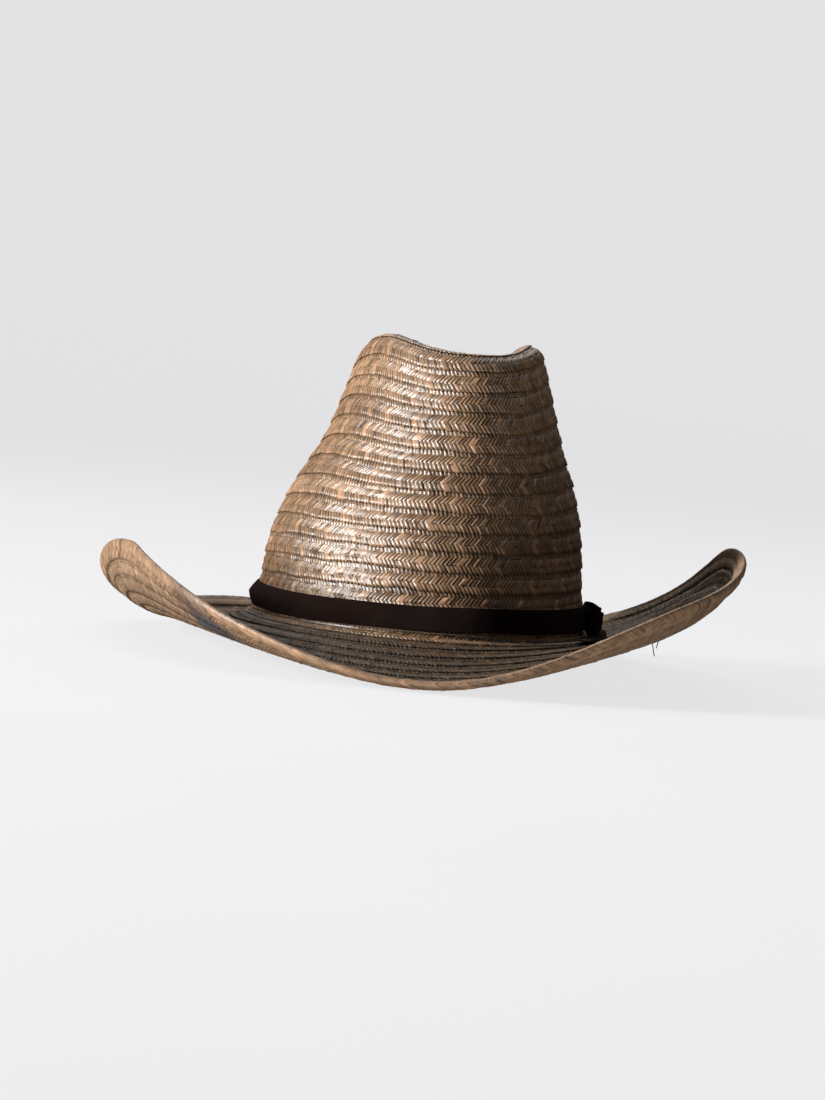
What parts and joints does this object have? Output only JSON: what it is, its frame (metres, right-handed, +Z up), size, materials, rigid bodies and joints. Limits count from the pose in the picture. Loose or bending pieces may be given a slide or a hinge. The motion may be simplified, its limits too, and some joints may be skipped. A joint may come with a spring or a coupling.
{
  "type": "cowboy hat",
  "caption": "Straw cowboy hat with a creased crown, curled brim and a ribbon band with a bow; worn on the head or rested on its brim.",
  "frame": {"origin": "middle of the hat's footprint, on the surface that the brim rests on", "axes": "+Z up through the crown, -Y where the wearer looks, +X the wearer's left"},
  "size_m": [0.3329, 0.4009, 0.1705],
  "materials": {
    "straw_braid": "plaited straw, slightly glossy",
    "straw_edge": "plaited straw, folded",
    "wire": "drawn wire",
    "joiner": "crimped sleeve",
    "straw_thread": "cotton thread",
    "sweatband": "worn leather",
    "reed": "plastic reed",
    "seam_tape": "woven tape",
    "ribbon": "grosgrain ribbon",
    "black_thread": "cotton thread"
  },
  "bodies": {
    "hat": {"crown": "straw_braid", "brim": "straw_braid", "brim_edge_braid": "straw_edge", "brim_wire": "wire", "wire_joiner": "joiner", "headline_stitches": "straw_thread", "edge_stitches": "straw_thread", "sweatband": "sweatband", "sweatband_reed": "reed", "sweatband_seam_tape": "seam_tape", "sweatband_stitches": "straw_thread", "loose_threads": "black_thread"},
    "ribbon_band": {"hatband": "ribbon", "bow_loop_front": "ribbon", "bow_loop_rear": "ribbon", "bow_knot": "ribbon", "bow_tails": "ribbon"}
  },
  "joints": [
    {"name": "hatband_lift", "type": "slide", "parent": "hat", "child": "ribbon_band", "axis": [0, 0, 1], "range_m": [0, 0.16]}
  ]
}
